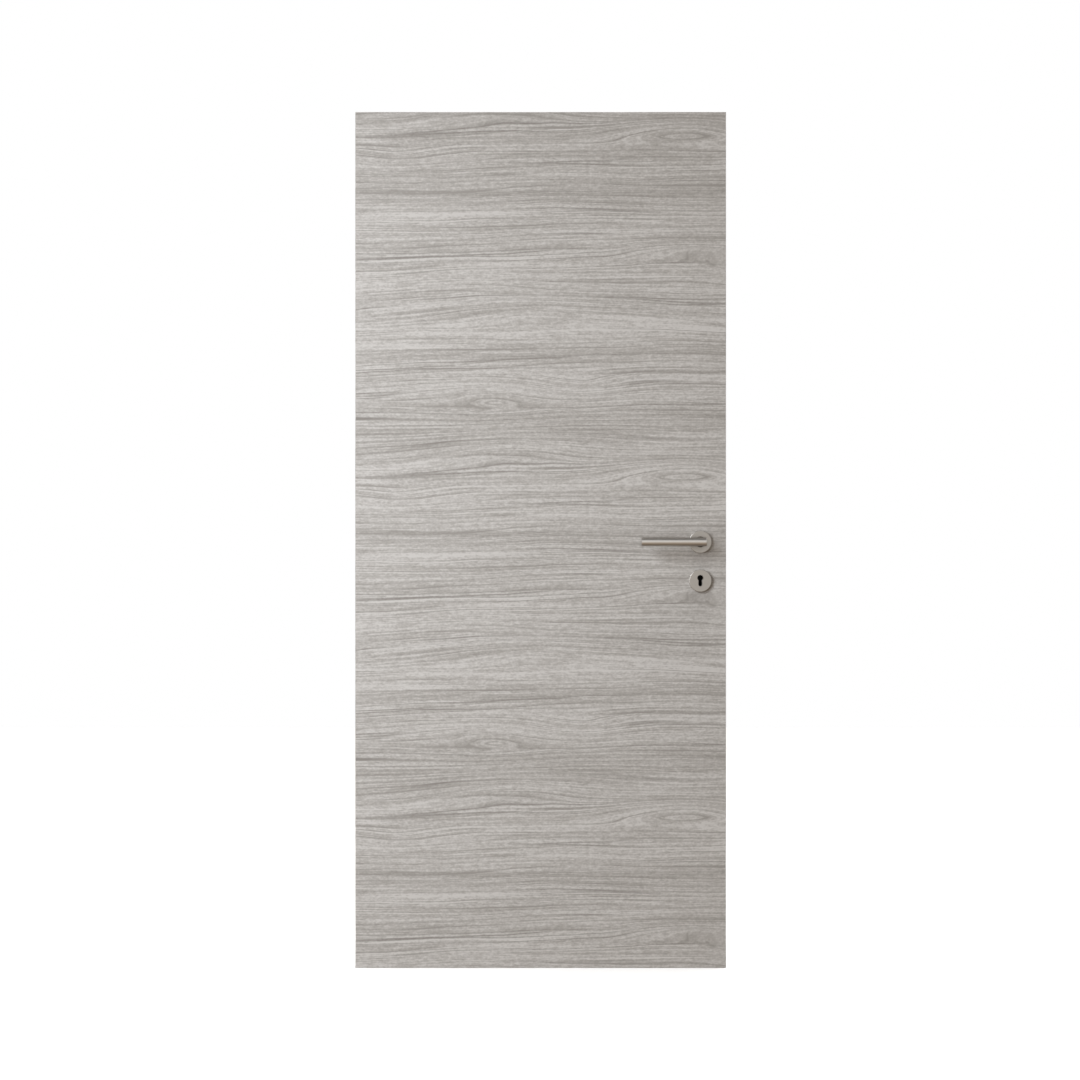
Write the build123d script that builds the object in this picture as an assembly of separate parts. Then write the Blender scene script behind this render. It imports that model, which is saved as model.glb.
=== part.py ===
from build123d import *
import os

# Interior door leaf with square edges, a mortice lock and a pair of levers on round roses.
# Millimetres. X runs along the width from the hinge edge (x = 0) to the lock edge, Y through the
# thickness with the front face at -Y, and Z up from the bottom edge. Y = 0 is the middle of the leaf.

# Leaf
leaf_width = 860.0
leaf_height = 1985.0
leaf_thickness = 40.0
skin_thickness = 3.5
band_thickness = 1.0
band_edge_radius = 0.5
stile_width = 34.0
rail_height = 40.0
tube_diameter = 26.0
tube_pitch = 34.0
tube_margin = 5.0
lock_block_margin = 45.0
lock_block_end_margin = 77.5

# Lever and key roses
handle_height = 988.0
backset = 60.0
key_rose_drop = 90.0
rose_diameter = 52.0
rose_height = 8.0
rose_wall = 1.2
rose_edge_radius = 1.1
rose_fit = 0.1
rose_bolt_spacing = 38.0
rose_bolt_diameter = 4.0
rose_bolt_head_diameter = 7.0
rose_bolt_head_height = 2.4
keyhole_round_diameter = 14.0
keyhole_slot_width = 9.2
keyhole_length = 26.8

# Levers: a straight tube with flat ends for the grip, and a neck of the same tube behind it
tube_outer_diameter = 20.0
tube_wall = 1.5
grip_reach = 138.0
grip_overhang = 11.5
grip_standoff = 50.0
neck_lift = 1.5
neck_core_length = 34.0
tube_plug_fit = 0.05
cap_thickness = 1.0
cap_plug_length = 6.0
cap_chamfer = 0.6
spindle_side = 8.0
spindle_fit = 0.06
spindle_bite = 30.0
guide_ring_diameter = 25.0
guide_ring_lip = 1.5
neck_running_fit = 0.1

# Mortice lock
case_height = 165.0
case_behind_hub = 30.0
case_thickness = 15.0
case_wall = 1.5
case_pocket_fit = 0.5
forend_width = 20.0
forend_length = 235.0
forend_thickness = 3.0
forend_fit = 0.1
forend_centre_drop = 47.5
forend_screw_inset = 11.0
forend_screw_diameter = 4.5
forend_screw_head_diameter = 8.6
pilot_diameter = 3.0
pilot_depth = 25.0
hub_diameter = 18.0
hub_running_fit = 0.1
hub_shoulder_diameter = 22.0
hub_end_play = 0.2
nose_radius = 17.0
nose_width = 6.0
nose_thickness = 6.0
latch_rise = 14.0
latch_head_height = 20.0
latch_head_thickness = 10.0
latch_head_length = 22.0
latch_bevel = 4.0
latch_tail_height = 6.5
latch_tail_clearance = 0.5
latch_lug_width = 3.0
latch_lug_back = 14.0
latch_lug_drop = 7.0
latch_travel = 12.0
dead_bolt_height = 22.0
dead_bolt_thickness = 8.0
dead_bolt_length = 22.0
dead_bolt_tail_behind_key = 24.0
dead_bolt_tail_height = 20.0
dead_bolt_throw = 20.0
talon_width = 9.0
talon_depth = 5.0
bolt_play = 0.2
tail_thickness = 3.0
latch_pin_diameter = 3.0
dead_bolt_pin_diameter = 5.0

# Holes through the leaf under the roses
spindle_hole_diameter = 20.0
bolt_hole_diameter = 7.0
keyway_width = 14.0
keyway_length = 32.0
key_turn_clearance = 4.0

# Pockets for two concealed hinges in the hinge edge
upper_hinge_drop = 241.0
lower_hinge_height = 309.0
hinge_flange_length = 155.0
hinge_flange_depth = 3.5
hinge_body_length = 108.0
hinge_pocket_width = 24.0
hinge_pocket_depth = 24.5
hinge_screw_spacing = 132.0

# Places that follow from the sizes above
face = leaf_thickness / 2
core_face = face - skin_thickness
stile_left = band_thickness + stile_width
stile_right = leaf_width - stile_left
core_top = leaf_height - band_thickness
handle_x = leaf_width - backset
grip_end = handle_x - grip_reach
grip_tube_end = grip_end + cap_thickness
grip_root = handle_x + grip_overhang
grip_root_tube_end = grip_root - cap_thickness
core_diameter = tube_outer_diameter - 2 * (tube_wall + tube_plug_fit)
key_rose_z = handle_height - key_rose_drop
key_z = key_rose_z + (keyhole_length - keyhole_round_diameter) / 2
forend_back = leaf_width - forend_thickness
forend_z = handle_height - forend_centre_drop
case_bottom = forend_z - case_height / 2
case_top = forend_z + case_height / 2
case_left = handle_x - case_behind_hub
case_half = case_thickness / 2
case_inner_half = case_half - case_wall
block_left = case_left - lock_block_margin
block_bottom = case_bottom - lock_block_end_margin
block_top = case_top + lock_block_end_margin
latch_z = handle_height + latch_rise
latch_tail_bottom = handle_height + nose_radius + latch_tail_clearance
latch_pin_z = latch_tail_bottom + latch_tail_height / 2
latch_pin_x = handle_x + latch_travel
dead_bolt_tail_bottom = key_z + keyhole_round_diameter / 2 + key_turn_clearance
dead_bolt_z = dead_bolt_tail_bottom + dead_bolt_tail_height / 2
dead_bolt_tail_right = leaf_width - dead_bolt_length
dead_bolt_tail_left = handle_x - dead_bolt_tail_behind_key
dead_bolt_pin_x = dead_bolt_tail_right - dead_bolt_throw
hinge_heights = (lower_hinge_height, leaf_height - upper_hinge_drop)
bolt_offsets = (-rose_bolt_spacing / 2, rose_bolt_spacing / 2)


def block(x0, x1, y0, y1, z0, z1):
    """A rectangular solid between two opposite corners."""
    centre = Pos((x0 + x1) / 2, (y0 + y1) / 2, (z0 + z1) / 2)
    return centre * Box(x1 - x0, y1 - y0, z1 - z0)


def rod_y(x, z, diameter, y0, y1):
    """A round rod along Y."""
    return Pos(x, (y0 + y1) / 2, z) * Rot(90, 0, 0) * Cylinder(diameter / 2, y1 - y0)


def rod_x(y, z, diameter, x0, x1):
    """A round rod along X."""
    return Pos((x0 + x1) / 2, y, z) * Rot(0, 90, 0) * Cylinder(diameter / 2, x1 - x0)


def slot_y(x, z, width, length, y0, y1):
    """An upright bar with round ends, along Y."""
    outline = SlotOverall(length, width, rotation=90)
    return extrude(Plane((x, y1, z), x_dir=(1, 0, 0), z_dir=(0, -1, 0)) * outline, y1 - y0)


def slot_x(z, width, length, x0, x1):
    """An upright bar with round ends, along X in the middle of the leaf's thickness."""
    outline = SlotOverall(length, width)
    return extrude(Plane((x0, 0, z), x_dir=(0, 0, 1), z_dir=(1, 0, 0)) * outline, x1 - x0)


def keyhole(y0, y1):
    """The keyhole's shape along Y: a round hole over a narrower slot with a round foot."""
    round_part = rod_y(handle_x, key_z, keyhole_round_diameter, y0, y1)
    foot = key_rose_z - keyhole_length / 2
    slot_length = key_z - foot + keyhole_slot_width / 2
    return round_part + slot_y(
        handle_x, foot + slot_length / 2, keyhole_slot_width, slot_length, y0, y1
    )


def furniture_holes(y0, y1):
    """What is drilled and cut along Y under the roses, for the spindle, the key and the bolts."""
    cut = rod_y(handle_x, handle_height, spindle_hole_diameter, y0, y1)
    cut += slot_y(handle_x, key_rose_z, keyway_width, keyway_length, y0, y1)
    for z in (handle_height, key_rose_z):
        for dx in bolt_offsets:
            cut += rod_y(handle_x + dx, z, bolt_hole_diameter, y0, y1)
    return cut


def case_pocket():
    """The mortice that the lock case slides into, open at the lock edge."""
    half = case_half + case_pocket_fit
    return block(
        case_left - case_pocket_fit, leaf_width, -half, half,
        case_bottom - case_pocket_fit, case_top + case_pocket_fit,
    )


def forend_recess():
    """The shallow recess in the lock edge that the lock's forend lies in."""
    return slot_x(
        forend_z, forend_width + 2 * forend_fit, forend_length + 2 * forend_fit,
        forend_back, leaf_width,
    )


def forend_screw_heights():
    """Where the two screws go through the forend into the lock stile."""
    reach = forend_length / 2 - forend_screw_inset
    return (forend_z - reach, forend_z + reach)


def hinge_pocket(z):
    """One hinge pocket: a shallow flange seat with round ends over a deeper body cavity."""
    seat = slot_x(z, hinge_pocket_width, hinge_flange_length, 0, hinge_flange_depth)
    half = hinge_pocket_width / 2
    cavity = block(
        0, hinge_pocket_depth, -half, half, z - hinge_body_length / 2, z + hinge_body_length / 2
    )
    return seat + cavity


def skin(side):
    """One face sheet. side is -1 for the front and 1 for the back."""
    y0, y1 = sorted((side * core_face, side * face))
    sheet = block(band_thickness, leaf_width - band_thickness, y0, y1, 0, core_top)
    return sheet - furniture_holes(y0, y1)


def hinge_stile():
    stile = block(band_thickness, stile_left, -core_face, core_face, 0, core_top)
    for z in hinge_heights:
        stile -= hinge_pocket(z)
        for dz in (-hinge_screw_spacing / 2, hinge_screw_spacing / 2):
            stile -= rod_x(0, z + dz, pilot_diameter, 0, hinge_flange_depth + pilot_depth)
    return stile


def lock_stile():
    stile = block(stile_right, leaf_width - band_thickness, -core_face, core_face, 0, core_top)
    stile -= case_pocket() + forend_recess()
    for z in forend_screw_heights():
        stile -= rod_x(0, z, pilot_diameter, forend_back - pilot_depth, forend_back)
    return stile


def rail(z0):
    """A cross rail between the stiles, from z0 up."""
    return block(stile_left, stile_right, -core_face, core_face, z0, z0 + rail_height)


def tubular_slab(x0, x1, z0, z1):
    """Extruded board between the skins, with upright tubes that the rails close."""
    slab = block(x0, x1, -core_face, core_face, z0, z1)
    count = int((x1 - x0 - 2 * tube_margin + tube_pitch - tube_diameter) / tube_pitch)
    first = (x0 + x1) / 2 - tube_pitch * (count - 1) / 2
    for i in range(count):
        tube = Cylinder(tube_diameter / 2, z1 - z0)
        slab -= Pos(first + i * tube_pitch, 0, (z0 + z1) / 2) * tube
    return slab


def lock_block():
    """Solid block behind the lock stile, mortised for the case and drilled for the furniture."""
    piece = block(block_left, stile_right, -core_face, core_face, block_bottom, block_top)
    return piece - case_pocket() - furniture_holes(-core_face, core_face)


def hinge_edge_band():
    """Edge strip from the bottom to the top, with its outer arrises broken."""
    band = block(0, band_thickness, -face, face, 0, leaf_height)
    upright = band.edges().filter_by(Axis.Z).group_by(Axis.X)[0]
    across = band.edges().group_by(Axis.Z)[-1].sort_by(Axis.X)[:3]
    band = fillet(upright + across, band_edge_radius)
    for z in hinge_heights:
        band -= hinge_pocket(z)
    return band


def lock_edge_band():
    """The same strip on the lock edge, cut for the forend."""
    band = block(leaf_width - band_thickness, leaf_width, -face, face, 0, leaf_height)
    upright = band.edges().filter_by(Axis.Z).group_by(Axis.X)[-1]
    across = band.edges().group_by(Axis.Z)[-1].sort_by(Axis.X)[-3:]
    return fillet(upright + across, band_edge_radius) - forend_recess()


def top_edge_band():
    """The strip on top, between the other two."""
    band = block(band_thickness, leaf_width - band_thickness, -face, face, core_top, leaf_height)
    return fillet(band.edges().filter_by(Axis.X).group_by(Axis.Z)[-1], band_edge_radius)


def lock_case():
    """Folded sheet case, open at the forend, with bearings, a keyhole and two guide pins."""
    half = case_half
    inner = case_inner_half
    case = block(case_left, forend_back, -half, half, case_bottom, case_top)
    case -= block(
        case_left + case_wall, forend_back, -inner, inner,
        case_bottom + case_wall, case_top - case_wall,
    )
    case -= rod_y(handle_x, handle_height, hub_diameter + 2 * hub_running_fit, -half, half)
    case -= keyhole(-half, half)
    for z in (handle_height, key_rose_z):
        for dx in bolt_offsets:
            case -= rod_y(handle_x + dx, z, bolt_hole_diameter, -half, half)
    case += rod_y(latch_pin_x, latch_pin_z, latch_pin_diameter, -inner, inner)
    case += rod_y(dead_bolt_pin_x, dead_bolt_z, dead_bolt_pin_diameter, -inner, inner)
    return case


def lock_forend():
    plate = slot_x(forend_z, forend_width, forend_length, forend_back, leaf_width)
    for z, height, thickness in (
        (latch_z, latch_head_height, latch_head_thickness),
        (dead_bolt_z, dead_bolt_height, dead_bolt_thickness),
    ):
        half_y = thickness / 2 + bolt_play
        half_z = height / 2 + bolt_play
        plate -= block(forend_back, leaf_width, -half_y, half_y, z - half_z, z + half_z)
    sink = (forend_screw_head_diameter - forend_screw_diameter) / 2
    for z in forend_screw_heights():
        plate -= rod_x(0, z, forend_screw_diameter, forend_back, leaf_width)
        cone = Cone(forend_screw_diameter / 2, forend_screw_head_diameter / 2, sink)
        plate -= Pos(leaf_width - sink / 2, 0, z) * Rot(0, 90, 0) * cone
    return plate


def latch_bolt():
    """Magnetic latch, drawn back flush with the forend, with the tail that the nose pulls."""
    half_y = latch_head_thickness / 2
    half_z = latch_head_height / 2
    head_left = leaf_width - latch_head_length
    head = block(head_left, leaf_width, -half_y, half_y, latch_z - half_z, latch_z + half_z)
    corner = head.edges().filter_by(Axis.Z).group_by(Axis.X)[-1].group_by(Axis.Y)[0]
    head = chamfer(corner, latch_bevel)
    half_t = tail_thickness / 2
    tail_top = latch_tail_bottom + latch_tail_height
    lug_right = handle_x - latch_lug_back
    lug_left = lug_right - latch_lug_width
    tail = block(lug_left, head_left, -half_t, half_t, latch_tail_bottom, tail_top)
    lug_bottom = latch_tail_bottom - latch_lug_drop
    tail += block(lug_left, lug_right, -half_t, half_t, lug_bottom, latch_tail_bottom)
    slot_width = latch_pin_diameter + bolt_play
    slot_right = latch_pin_x + slot_width / 2
    tail -= block(
        slot_right - latch_travel - slot_width, slot_right, -half_t, half_t,
        latch_pin_z - slot_width / 2, latch_pin_z + slot_width / 2,
    )
    return head + tail


def dead_bolt():
    """Dead bolt drawn back flush, with its slotted tail and the talon that the key's bit enters."""
    half_y = dead_bolt_thickness / 2
    half_z = dead_bolt_height / 2
    head = block(
        dead_bolt_tail_right, leaf_width, -half_y, half_y, dead_bolt_z - half_z, dead_bolt_z + half_z
    )
    half_t = tail_thickness / 2
    tail = block(
        dead_bolt_tail_left, dead_bolt_tail_right, -half_t, half_t,
        dead_bolt_tail_bottom, dead_bolt_tail_bottom + dead_bolt_tail_height,
    )
    tail -= block(
        handle_x - talon_width / 2, handle_x + talon_width / 2, -half_t, half_t,
        dead_bolt_tail_bottom, dead_bolt_tail_bottom + talon_depth,
    )
    slot_width = dead_bolt_pin_diameter + bolt_play
    slot_right = dead_bolt_pin_x + slot_width / 2
    tail -= block(
        slot_right - dead_bolt_throw - slot_width, slot_right, -half_t, half_t,
        dead_bolt_z - slot_width / 2, dead_bolt_z + slot_width / 2,
    )
    return head + tail


def square_hole(y0, y1):
    half = spindle_side / 2 + spindle_fit
    return block(
        handle_x - half, handle_x + half, y0, y1, handle_height - half, handle_height + half
    )


def follower():
    """The hub that the spindle turns inside the lock case, with the nose that pulls the latch."""
    hub = rod_y(handle_x, handle_height, hub_diameter, -case_half, case_half)
    shoulder = case_inner_half - hub_end_play
    hub += rod_y(handle_x, handle_height, hub_shoulder_diameter, -shoulder, shoulder)
    nose = block(
        handle_x - nose_width / 2, handle_x + nose_width / 2,
        -nose_thickness / 2, nose_thickness / 2, handle_height, handle_height + nose_radius,
    )
    reach = rod_y(handle_x, handle_height, 2 * nose_radius, -case_half, case_half)
    return hub + (nose & reach) - square_hole(-case_half, case_half)


def spindle():
    half = spindle_side / 2
    reach = face + neck_lift + spindle_bite
    return block(
        handle_x - half, handle_x + half, -reach, reach, handle_height - half, handle_height + half
    )


def neck_and_grip(diameter):
    """A round bar along the front lever's grip, and one along the neck that meets it from behind."""
    grip_y = -(face + grip_standoff)
    neck = rod_y(handle_x, handle_height, diameter, grip_y, -(face + neck_lift))
    grip = rod_x(grip_y, handle_height, diameter, grip_tube_end, grip_root_tube_end)
    reach = 2 * grip_standoff
    seam = Pos(handle_x, grip_y, handle_height) * Rot(0, 0, 45) * Pos(reach / 2, reach / 2, 0)
    neck_side = seam * Box(reach, reach, 2 * diameter)
    return (neck & neck_side) + (grip - neck_side)


def lever():
    """The front lever's two tubes, welded together with their bores joined."""
    return neck_and_grip(tube_outer_diameter) - neck_and_grip(tube_outer_diameter - 2 * tube_wall)


def lever_cap():
    """The flat plug that closes the grip's free end."""
    y = -(face + grip_standoff)
    disc = rod_x(y, handle_height, tube_outer_diameter, grip_end, grip_tube_end)
    disc = chamfer(disc.edges().group_by(Axis.X)[0], cap_chamfer)
    plug_end = grip_tube_end + cap_plug_length
    return disc + rod_x(y, handle_height, core_diameter, grip_tube_end, plug_end)


def lever_root_cap():
    """The same plug at the grip's other end, past the neck."""
    return mirror(lever_cap(), about=Plane.YZ.offset((grip_end + grip_root) / 2))


def neck_core():
    """The socket inside the neck that the square spindle enters."""
    foot = -(face + neck_lift)
    core = rod_y(handle_x, handle_height, core_diameter, foot - neck_core_length, foot)
    return core - square_hole(foot - neck_core_length, foot)


def rose(z, cut):
    """A front rose: a shallow round cap with a soft edge, less the given cut."""
    outer = rod_y(handle_x, z, rose_diameter, -face - rose_height, -face)
    outer = fillet(outer.edges().group_by(Axis.Y)[0], rose_edge_radius)
    inner = rod_y(handle_x, z, rose_diameter - 2 * rose_wall, -face - rose_height + rose_wall, -face)
    return outer - inner - cut


def rose_base(z, cut):
    """The disc under a front rose, bolted through the leaf, less the given cut."""
    diameter = rose_diameter - 2 * (rose_wall + rose_fit)
    front = -face - rose_height + rose_wall + rose_fit
    disc = rod_y(handle_x, z, diameter, front, -face)
    for dx in bolt_offsets:
        disc -= rod_y(handle_x + dx, z, rose_bolt_diameter + 2 * rose_fit, front, -face)
        disc -= rod_y(
            handle_x + dx, z, rose_bolt_head_diameter + 2 * rose_fit,
            front, front + rose_bolt_head_height,
        )
    return disc - cut


def ring_hole(fit):
    """The hole through a rose or its base for the guide ring."""
    diameter = guide_ring_diameter + 2 * fit
    return rod_y(handle_x, handle_height, diameter, -face - rose_height, -face)


def guide_ring():
    """The plastic bush that the lever's neck turns in, standing a little proud of the rose."""
    front = -face - rose_height - guide_ring_lip
    ring = rod_y(handle_x, handle_height, guide_ring_diameter, front, -face)
    bore = tube_outer_diameter + 2 * neck_running_fit
    return ring - rod_y(handle_x, handle_height, bore, front, -face)


def rose_bolts():
    """Four through bolts that clamp the rose bases on both faces against the leaf."""
    head_front = -face - rose_height + rose_wall + rose_fit
    bolts = []
    for z in (handle_height, key_rose_z):
        for dx in bolt_offsets:
            x = handle_x + dx
            bolt = rod_y(x, z, rose_bolt_diameter, head_front, -head_front)
            inner = head_front + rose_bolt_head_height
            bolt += rod_y(x, z, rose_bolt_head_diameter, head_front, inner)
            bolt += rod_y(x, z, rose_bolt_head_diameter, -inner, -head_front)
            bolts.append(bolt)
    return Compound(bolts)


def mirrored(piece):
    """A piece of the front face on the back face."""
    return mirror(piece, about=Plane.XZ)


def turned(piece):
    """The same for a piece that is alike above and below the handle's axis."""
    return piece.rotate(Axis((0, 0, handle_height), (1, 0, 0)), 180)


key_cut = keyhole(-face - rose_height, -face)
lever_pieces = {
    "lever": lever(),
    "lever_cap": lever_cap(),
    "lever_root_cap": lever_root_cap(),
    "neck_core": neck_core(),
}
rose_pieces = {
    "rose": rose(handle_height, ring_hole(rose_fit)),
    "rose_base": rose_base(handle_height, ring_hole(rose_fit)),
    "guide_ring": guide_ring(),
    "key_rose": rose(key_rose_z, key_cut),
    "key_rose_base": rose_base(
        key_rose_z, slot_y(handle_x, key_rose_z, keyway_width, keyway_length, -face - rose_height, -face)
    ),
}
nodes = {
    "front_skin": skin(-1),
    "back_skin": skin(1),
    "hinge_stile": hinge_stile(),
    "lock_stile": lock_stile(),
    "top_rail": rail(core_top - rail_height),
    "bottom_rail": rail(0),
    "tubular_core": tubular_slab(stile_left, block_left, rail_height, core_top - rail_height),
    "upper_core_strip": tubular_slab(block_left, stile_right, block_top, core_top - rail_height),
    "lower_core_strip": tubular_slab(block_left, stile_right, rail_height, block_bottom),
    "lock_block": lock_block(),
    "hinge_edge_band": hinge_edge_band(),
    "lock_edge_band": lock_edge_band(),
    "top_edge_band": top_edge_band(),
    "lock_case": lock_case(),
    "lock_forend": lock_forend(),
    "latch_bolt": latch_bolt(),
    "dead_bolt": dead_bolt(),
    "follower": follower(),
    "spindle": spindle(),
    "rose_bolts": rose_bolts(),
}
for pieces, to_back in ((lever_pieces, turned), (rose_pieces, mirrored)):
    for name, piece in pieces.items():
        nodes["front_" + name] = piece
        nodes["back_" + name] = to_back(piece)

os.makedirs("parts", exist_ok=True)
for name, piece in nodes.items():
    export_step(piece, f"parts/{name}.step")
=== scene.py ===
"""Dresses a flush interior door leaf: grey wood decor, raw wood, satin steel fittings, lock, stage."""
import math

import bmesh
import bpy
from mathutils import Matrix, Vector


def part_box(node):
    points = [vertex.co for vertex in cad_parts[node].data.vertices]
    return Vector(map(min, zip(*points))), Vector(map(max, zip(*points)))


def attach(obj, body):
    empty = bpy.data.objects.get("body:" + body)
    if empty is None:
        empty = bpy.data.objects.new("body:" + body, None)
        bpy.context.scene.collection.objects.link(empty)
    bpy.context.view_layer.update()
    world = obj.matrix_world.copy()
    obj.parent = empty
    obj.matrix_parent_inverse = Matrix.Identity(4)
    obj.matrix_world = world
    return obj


bl_info = {
    "name": "Interior Door Leaf",
    "version": (1, 0, 0),
    "blender": (4, 5, 0),
    "location": "3D View > Sidebar > Door",
    "description": "Finishes, small fasteners and studio stage for a flush door leaf with levers",
    "category": "Object",
}

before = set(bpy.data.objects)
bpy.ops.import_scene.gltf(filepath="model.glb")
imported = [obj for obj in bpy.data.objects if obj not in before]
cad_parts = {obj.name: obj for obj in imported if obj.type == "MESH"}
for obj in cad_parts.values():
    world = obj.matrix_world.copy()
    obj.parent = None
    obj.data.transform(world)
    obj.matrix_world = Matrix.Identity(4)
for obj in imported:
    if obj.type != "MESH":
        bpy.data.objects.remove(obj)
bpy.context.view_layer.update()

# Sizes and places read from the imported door, in metres
leaf_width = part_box("lock_edge_band")[1].x
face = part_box("back_skin")[1].y
handle_axis = sum(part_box("front_guide_ring"), Vector()) / 2
key_axis = sum(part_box("front_key_rose"), Vector()) / 2
forend_low, forend_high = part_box("lock_forend")
grip_line = -sum(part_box("front_lever_cap"), Vector()).y / 2

# The sides of the leaf, as the names of the pieces begin
sides = ("front", "back")

# Cells to the metre across and along the brushed lines of the levers and roses
brush_across = 2600.0
brush_along = 45.0

# Cells to the metre along X, Y and Z in the steel of each part: the lines run where they are few
grip_brush = (brush_along, brush_across, brush_across)
neck_brush = (brush_across, brush_along, brush_across)
forend_brush = (brush_across, brush_across, 30.0)
screw_brush = (900.0, 900.0, 900.0)
case_brush = (300.0, 300.0, 25.0)
bolt_brush = (35.0, 1400.0, 1400.0)
turned_brush = (1400.0, 35.0, 1400.0)

# What brushed metal throws back at a glancing angle
rim_tint = (0.13, 0.115, 0.1)

# Where the decor of each face starts along and across the grain
front_start = (0.0, 0.0)
back_start = (leaf_width + 3.0, -0.48)

# For each edge band, the axis that its grain runs along and where its decor starts
band_starts = (
    ("hinge_edge_band", "Z", (1.3, 1.3 / 7)),
    ("lock_edge_band", "Z", (5.9, 5.9 / 7)),
    ("top_edge_band", "X", (9.4, 9.4 / 7)),
)

# Layers of noise in the decor: cells to the metre along and across the grain, seed, weight and,
# where it has more than one size of cell, detail. These bend the grain
bend_layers = (
    (0.8, 3.0, 2.0, 0.05),
    (2.6, 11.0, 5.0, 0.022),
    (6.0, 26.0, 30.0, 0.005),
    (14.0, 60.0, 9.0, 0.0026),
)

# These follow the bent grain, from broad streaks to fine fibres
fibre_layers = (
    (0.6, 13.0, 1.0, 0.17),
    (0.8, 34.0, 10.0, 0.36),
    (0.9, 75.0, 3.0, 0.16),
    (3.0, 150.0, 16.0, 0.25),
    (5.0, 260.0, 4.0, 0.57),
    (14.0, 330.0, 17.0, 0.4),
    (45.0, 700.0, 6.0, 0.4),
)

# These are the fine cloud of the print, which lies straight
cloud_layers = (
    (48.0, 90.0, 7.0, 0.42, 1.0),
    (110.0, 210.0, 22.0, 0.5),
    (210.0, 330.0, 25.0, 0.5),
)

# Figures of the decor: place along and across the grain, half length, half height above and below,
# how far the lines are lifted in the middle, and how far they are spread apart there
decor_figures = (
    (0.325, 0.527, 0.130, 0.032, 0.036, 0.0, 0.85),
    (0.325, 0.522, 0.080, 0.016, 0.012, 0.016, 0.0),
    (0.370, 0.735, 0.200, 0.050, 0.030, 0.022, 0.0),
    (0.340, 0.405, 0.190, 0.045, 0.030, 0.020, 0.0),
    (0.820, 0.880, 0.220, 0.048, 0.024, 0.027, 0.0),
    (0.770, 0.352, 0.130, 0.038, 0.016, 0.042, 0.0),
    (0.520, 0.560, 0.130, 0.026, 0.040, -0.018, 0.0),
    (0.110, 0.300, 0.100, 0.024, 0.034, -0.014, 0.0),
)

# Soft bands of the decor: place across the grain, half height, and how much lighter
decor_bands = (
    (0.025, 0.030, 0.15),
    (0.150, 0.022, 0.12),
    (0.220, 0.030, -0.15),
    (0.290, 0.030, 0.12),
    (0.485, 0.028, -0.16),
    (0.635, 0.020, -0.14),
    (0.695, 0.024, 0.15),
)

# Painted shade: the front face's decor is darkened along its top, where the light falls off: where that
# starts and is full, and how much lighter
painted_top_shade = (1.77, 1.82, -0.14)

# The level of plain grain before its rings and lines darken it
plain_grain = 0.74

# Raw wood and board: rings and fibres to the metre along X, Y and Z, relief and roughness
wood_grains = {
    "softwood_upright": ((38.0, 38.0, 1.2), (900.0, 900.0, 30.0), 0.0003, 0.65),
    "softwood_level": ((1.2, 38.0, 38.0), (30.0, 900.0, 900.0), 0.0003, 0.65),
    "lock_block_wood": ((60.0, 60.0, 2.0), (1200.0, 1200.0, 45.0), 0.0002, 0.6),
    "extruded_board": ((160.0, 160.0, 420.0), (700.0, 700.0, 1500.0), 0.0005, 0.75),
}

# Rings and fibres to the metre in the cut edge of the face sheets
sheet_grain = ((3.0, 3.0, 3.0), (900.0, 2600.0, 900.0))

# The room as the steel sees it, from straight below at 0 to straight above at 1
room_tones = (
    (0.0, (0.2, 0.155, 0.115)),
    (0.09, (0.3, 0.22, 0.155)),
    (0.25, (0.61, 0.52, 0.42)),
    (0.4, (0.7, 0.655, 0.6)),
    (0.52, (0.8, 0.775, 0.74)),
    (0.61, (1.05, 1.03, 1.0)),
    (0.74, (0.93, 0.92, 0.9)),
    (0.86, (0.38, 0.37, 0.36)),
    (1.0, (0.1, 0.094, 0.088)),
)

# How much darker the room gets per unit of direction towards the lock edge
room_slope = -0.45


def colour(name, description, default):
    """A colour setting."""
    return bpy.props.FloatVectorProperty(
        name=name, description=description, subtype="COLOR", size=3, min=0, max=1, default=default
    )


def share(name, description, default):
    """A setting between 0 and 1."""
    return bpy.props.FloatProperty(
        name=name, description=description, subtype="FACTOR", min=0, max=1, default=default
    )


def length(name, description, default):
    """A length setting in metres."""
    return bpy.props.FloatProperty(
        name=name, description=description, unit="LENGTH", precision=5, default=default
    )


def angle(name, description, degrees):
    """An angle setting, given here in degrees and kept in radians."""
    return bpy.props.FloatProperty(
        name=name, description=description, subtype="ANGLE", default=math.radians(degrees)
    )


def spot(name, description, default):
    """A place setting in metres."""
    return bpy.props.FloatVectorProperty(
        name=name, description=description, subtype="XYZ", unit="LENGTH", size=3, default=default
    )


def amount(name, description, default):
    """A plain number setting."""
    return bpy.props.FloatProperty(name=name, description=description, default=default)


class DoorDecorSettings(bpy.types.PropertyGroup):
    """The printed grey wood decor of the faces and edges."""

    light: colour("Light wood", "Palest tone between the grain lines", (0.66, 0.635, 0.605))
    middle: colour("Middle wood", "Tone of the plain grain", (0.485, 0.46, 0.43))
    dark: colour("Dark bands", "Tone of the soft dark bands", (0.355, 0.332, 0.305))
    line: colour("Grain lines", "Tone of the thin dark lines", (0.215, 0.195, 0.175))
    repeat: length("Repeat", "Height after which the printed decor repeats", 0.79)
    contrast: amount("Contrast", "Strength of bands and fibres", 1.0)
    relief: length("Relief", "Depth of the pressed pores and lines", 0.00012)
    roughness: share("Roughness", "Roughness of the lacquered decor", 0.5)


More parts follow.
